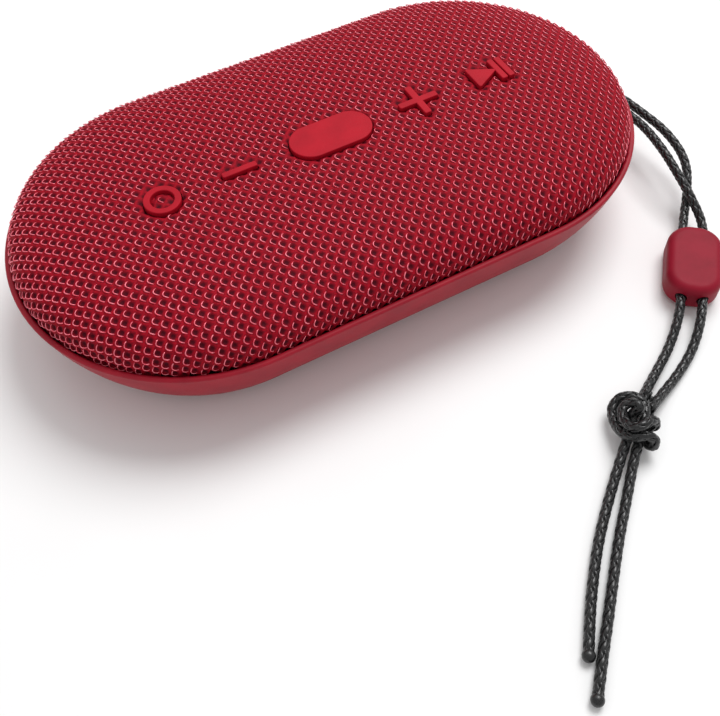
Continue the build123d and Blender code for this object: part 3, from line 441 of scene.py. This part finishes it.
def loops(name, outside, seed):
    """The yarn that stands in a loop round each pit, its pale pink colour a painted highlight."""
    cells = np.array([(i, j) for i in range(-75, 76) for j in range(-75, 76)])
    step = np.array(CELL)
    centre = cells @ step
    path = np.array(LOOP)
    line = path[:, :2] @ step
    middle = np.clip(centre[:, 0], -HALF_STRAIGHT, HALF_STRAIGHT)
    far = np.hypot(centre[:, 0] - middle, centre[:, 1])
    clear = np.max([outside(centre + point) for point in line], axis=0) < -0.12
    centre = centre[(far < ALONG[-1] - 1.1) & clear]
    run = np.gradient(line, axis=0)
    run /= np.linalg.norm(run, axis=1)[:, None]
    across = np.stack([-run[:, 1], run[:, 0]], 1)
    wide, thick = LOOP_HALF
    flat = np.stack([line - across * wide, line, line + across * wide, line], 1)
    height = path[:, 2:] + np.array([[0.0, -thick, 0.0, thick]])
    dice = np.random.default_rng(seed)
    shift = dice.normal(0, 0.045, (len(centre), 1, 1, 2))
    size = dice.normal(1.0, 0.05, (len(centre), 1, 1, 1))
    placed = centre[:, None, None, :] + flat[None] * size + shift
    lifted = height[None] + dice.normal(0, 0.03, (len(centre), 1, 1))
    count = len(path) * 4
    faces = np.array([face for face in tube_faces(len(path), 4, 0)])
    faces = (faces[None] + np.arange(len(centre))[:, None, None] * count).reshape(-1, 4)
    mesh = bpy.data.meshes.new(name)
    mesh.from_pydata(on_cover(placed.reshape(-1, 2), lifted.reshape(-1)).tolist(), [], faces.tolist())
    mesh.polygons.foreach_set("use_smooth", np.ones(len(mesh.polygons), bool))
    made = bpy.data.objects.new(name, mesh)
    bpy.context.scene.collection.objects.link(made)
    return made


cover = weave("woven_cover", outside_cover, 1.2, 7)
painted_light_yarn = loops("cover_loop_yarn_painted_highlight", outside_cover, 23)
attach(painted_light_yarn, "speaker")
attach(cover, "speaker")
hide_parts("fabric_cover")
disc = weave("power_woven_disc", outside_disc, 1.2, 11)
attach(disc, "power_key")
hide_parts("power_fabric_disc")
disc_yarn = loops("power_loop_yarn_painted_highlight", outside_disc, 29)
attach(disc_yarn, "power_key")


# ---- materials ----
def ground_cloth():
    """Ground of a knitted polyester mesh, dyed deep red: matt textured yarn, with painted shade that darkens it down in
    its pits.
    """
    material, shader, place = start("knitted_polyester_ground_painted_shade")
    painted_pit_shade = node(material, "ShaderNodeAttribute", attribute_name="painted_light_yarn")
    clouds = node(material, "ShaderNodeTexNoise", {"Vector": place, "Scale": 1 / (0.55 * MM), "Detail": 3.0})
    # painted shade: the colour darkens down the pits' walls to their bottoms
    shade = node(material, "ShaderNodeMath", {0: painted_pit_shade.outputs["Fac"], 1: clouds.outputs["Fac"]}, operation="MULTIPLY")
    ramp = node(material, "ShaderNodeValToRGB", {"Fac": shade.outputs[0]})
    ramp.color_ramp.elements[0].color = linear("4a0212")
    ramp.color_ramp.elements[0].position = 0.02
    ramp.color_ramp.elements[1].color = linear("a4061e")
    ramp.color_ramp.elements[1].position = 0.6
    join(material, ramp.outputs["Color"], shader, "Base Color")
    # Filaments are about 0.02 mm across; they are drawn 0.2 mm apart so that they show.
    fibre = node(material, "ShaderNodeTexNoise", {"Vector": place, "Scale": 1 / (0.2 * MM), "Detail": 2.0})
    bump = node(material, "ShaderNodeBump", {"Height": fibre.outputs["Fac"], "Distance": 0.1 * MM, "Strength": 0.9})
    join(material, bump.outputs["Normal"], shader, "Normal")
    gloss = node(material, "ShaderNodeMapRange", {"Value": fibre.outputs["Fac"], "To Min": 0.55, "To Max": 0.85})
    join(material, gloss.outputs["Result"], shader, "Roughness")
    shader.inputs["Specular IOR Level"].default_value = 0.12
    return material


def yarn_with_painted_highlight():
    """Trilobal polyester whose three-lobed filaments mirror the light along the yarn in a pink glint; its pale pink
    base colour on red yarn is painted highlight.
    """
    material, shader, place = start("trilobal_yarn_painted_highlight")
    clouds = node(material, "ShaderNodeTexNoise", {"Vector": place, "Scale": 1 / (0.7 * MM), "Detail": 3.0})
    ramp = node(material, "ShaderNodeValToRGB", {"Fac": clouds.outputs["Fac"]})
    # painted highlight: the yarn's base colour is the pale pink of its glint
    ramp.color_ramp.elements[0].color = linear("e84058")
    ramp.color_ramp.elements[0].position = 0.32
    ramp.color_ramp.elements[1].color = linear("ff8c9c")
    ramp.color_ramp.elements[1].position = 0.68
    join(material, ramp.outputs["Color"], shader, "Base Color")
    fibre = node(material, "ShaderNodeTexNoise", {"Vector": place, "Scale": 1 / (0.16 * MM), "Detail": 2.0})
    bump = node(material, "ShaderNodeBump", {"Height": fibre.outputs["Fac"], "Distance": 0.03 * MM, "Strength": 0.7})
    join(material, bump.outputs["Normal"], shader, "Normal")
    gloss = node(material, "ShaderNodeMapRange", {"Value": fibre.outputs["Fac"], "To Min": 0.2, "To Max": 0.42})
    join(material, gloss.outputs["Result"], shader, "Roughness")
    shader.inputs["Metallic"].default_value = 0.35
    shader.inputs["Specular IOR Level"].default_value = 0.8
    return material


def waxed_polyester():
    """Black polyester braid drawn through hot wax, which fills it and leaves a wet shine on each bundle."""
    material, shader, place = start("waxed_polyester_braid")
    fibre = node(material, "ShaderNodeTexNoise", {"Vector": place, "Scale": 1 / (0.3 * MM), "Detail": 3.0})
    ramp = node(material, "ShaderNodeValToRGB", {"Fac": fibre.outputs["Fac"]})
    ramp.color_ramp.elements[0].color = linear("0a0a0b")
    ramp.color_ramp.elements[1].color = linear("222223")
    join(material, ramp.outputs["Color"], shader, "Base Color")
    gloss = node(material, "ShaderNodeMapRange", {"Value": fibre.outputs["Fac"], "To Min": 0.14, "To Max": 0.42})
    join(material, gloss.outputs["Result"], shader, "Roughness")
    bump = node(material, "ShaderNodeBump", {"Height": fibre.outputs["Fac"], "Distance": 0.05 * MM, "Strength": 0.6})
    join(material, bump.outputs["Normal"], shader, "Normal")
    return material


KEYS = ("power", "volume_down", "center", "volume_up", "play_pause")
DRIVERS = ("left", "right")
FINISHES = {
    # soft-touch lacquer over moulded ABS: a fine even grain that spreads the light
    surface("soft_touch_abs", "a00f26", "900b22", 0.35, 0.006, (0.42, 0.55), Specular_IOR_Level=0.25): ["base_shell"],
    # moulded silicone: matt, with a faint bloom
    surface("moulded_silicone", "ae0c22", "9e081e", 0.5, 0.008, (0.5, 0.65), Specular_IOR_Level=0.14):
        ["port_cover"] + [key + "_button" for key in KEYS],
    # the buttons' silicone in a darker, rosier colour: painted shade against the strong light on the bead, and painted
    # sheen; tumbled smooth
    surface("silicone_painted_shade", "8c1128", "7e0d22", 0.4, 0.006, (0.45, 0.6), Specular_IOR_Level=0.16): ["lanyard_bead"],
    # moulded nitrile rubber: dead matt, with a little dust in its skin
    surface("moulded_rubber", "1c1c1c", "121212", 0.8, 0.02, (0.75, 0.9)):
        ["foot_ring", "radiator_surround"] + [side + "_surround" for side in DRIVERS],
    # glass-filled ABS: grey black, slightly streaky where the melt flowed
    surface("glass_filled_abs", "1e1e20", "141416", 0.6, 0.012, (0.5, 0.7), patch=9.0):
        ["baffle", "grille_frame", "aux_jack"] + [side + "_basket" for side in DRIVERS],
    # die-cut closed-cell foam: tiny open bubbles on its cut faces
    surface("eva_foam", "262626", "161616", 0.5, 0.08, (0.9, 1.0)): ["baffle_seal"],
    # zinc-plated steel: bright, with a bluish passivated mottle
    surface("zinc_plated_steel", "c4c8cc", "9ea4a8", 0.7, 0.004, (0.25, 0.4), patch=2.0, Metallic=1.0):
        ["case_screws", "baffle_screws", "driver_screws", "button_board_screws", "main_board_screws",
         "radiator_plate", "driver_top_plates"] + [side + "_yoke" for side in DRIVERS],
    # drawn stainless wire, polished by the cord
    surface("stainless_wire", "cfcfcc", "b8b8b6", 0.3, 0.002, (0.12, 0.25), Metallic=1.0): ["lanyard_pin"],
    # sintered neodymium under nickel: mirror bright with fine pitting
    surface("nickel_plate", "c8c4bc", "b4b0a8", 0.4, 0.003, (0.12, 0.22), Metallic=1.0): ["driver_magnets"],
    # glass-epoxy under green solder mask: glossy, with the weave just showing
    surface("solder_mask_fr4", "0f5a34", "0b4327", 1.2, 0.01, (0.2, 0.35), patch=3.0): ["main_board", "button_board"],
    # liquid-crystal polymer: matt black, sharp edged
    surface("lcp_switch_body", "17171a", "0e0e10", 0.3, 0.006, (0.5, 0.65)): ["tact_switch_bodies"],
    # turned nylon, milky
    surface("natural_nylon", "e8e4d6", "d8d2c0", 0.4, 0.006, (0.4, 0.5), Subsurface_Weight=0.1):
        [key + "_plunger" for key in KEYS],
    # polyimide ribbon: amber and shiny
    surface("polyimide_ribbon", "c8701a", "a85a10", 0.5, 0.004, (0.2, 0.3), patch=4.0): ["button_flex"],
    # water-clear epoxy, cast
    surface("cast_clear_epoxy", "f2f2ee", "e6e6e0", 0.8, 0.002, (0.05, 0.12), Transmission_Weight=0.6): ["status_led"],
    # pressed paper pulp: fibrous and matt
    surface("pressed_paper_pulp", "242424", "141414", 0.35, 0.05, (0.8, 0.95), patch=1.5):
        [side + piece for side in DRIVERS for piece in ("_cone", "_dust_cap")],
    # enamelled copper winding: close turns under varnish
    surface("enamelled_copper", "c06a3a", "94481f", 0.22, 0.03, (0.22, 0.35), patch=1.0, Metallic=1.0):
        [side + "_voice_coil" for side in DRIVERS],
    # resin-dipped cotton: amber cloth, stiff and dull
    surface("resin_dipped_cotton", "b98a3a", "96702c", 0.45, 0.06, (0.6, 0.8), patch=1.0):
        [side + "_spider" for side in DRIVERS],
    # epoxy moulding compound
    surface("epoxy_chip_package", "18181a", "101012", 0.25, 0.01, (0.55, 0.7)): ["amplifier_chip"],
    # tinned steel can, pressed
    surface("tinned_steel", "cfd0cc", "b2b3b0", 0.6, 0.006, (0.28, 0.4), patch=1.5, Metallic=1.0):
        ["bluetooth_module", "usb_port"],
    # aluminised laminate pouch: silver grey, softly creased
    surface("aluminised_pouch", "b4b8bc", "96999e", 3.5, 0.09, (0.3, 0.45), patch=5.0, Metallic=0.7): ["battery_cell"],
    # extruded PVC insulation
    surface("extruded_pvc", "a01010", "7c0c0c", 0.6, 0.01, (0.3, 0.4)): ["battery_leads", "speaker_leads"],
}
ground_finish, painted_highlight_yarn_finish, cord_finish = ground_cloth(), yarn_with_painted_highlight(), waxed_polyester()
for piece, finish in ((cover, ground_finish), (disc, ground_finish), (painted_light_yarn, painted_highlight_yarn_finish), (disc_yarn, painted_highlight_yarn_finish)):
    piece.data.materials.append(finish)
for piece in [entry[0] for entry in lanyard.values()] + tips + [knot]:
    piece.data.materials.append(cord_finish)
for material, names in FINISHES.items():
    for name in names:
        for slot in frame["nodes"][name].material_slots:
            slot.material = material

# ---- floor and light ----
bpy.ops.object.select_all(action="DESELECT")
bpy.ops.mesh.primitive_plane_add(size=6.0)
floor = bpy.context.active_object
floor.name = "floor"
floor.data.materials.append(surface("white_card", "f4f4f4", "f0f0f0", 2.0, 0.002, (0.85, 0.95), patch=80.0))


def area_light(name, direction, distance, size, power):
    data = bpy.data.lights.new(name, "AREA")
    data.shape = "DISK"
    data.size = size
    data.energy = power
    lamp = bpy.data.objects.new(name, data)
    bpy.context.scene.collection.objects.link(lamp)
    toward = np.array(direction) / np.linalg.norm(direction)
    lamp.location = toward * distance
    lamp.rotation_mode = "QUATERNION"
    lamp.rotation_quaternion = Vector(toward).to_track_quat("Z", "Y")


area_light("key", (0.50, 0.24, 0.95), 1.0, 0.60, 7.2)
area_light("top", (0.1, 0.6, 1.0), 1.4, 1.0, 1.6)
world = bpy.data.worlds.new("studio")
world.use_nodes = True
world.node_tree.nodes["Background"].inputs["Color"].default_value = (1.0, 1.0, 1.0, 1.0)
world.node_tree.nodes["Background"].inputs["Strength"].default_value = 0.62
bpy.context.scene.world = world
bpy.context.scene.view_settings.view_transform = "Standard"
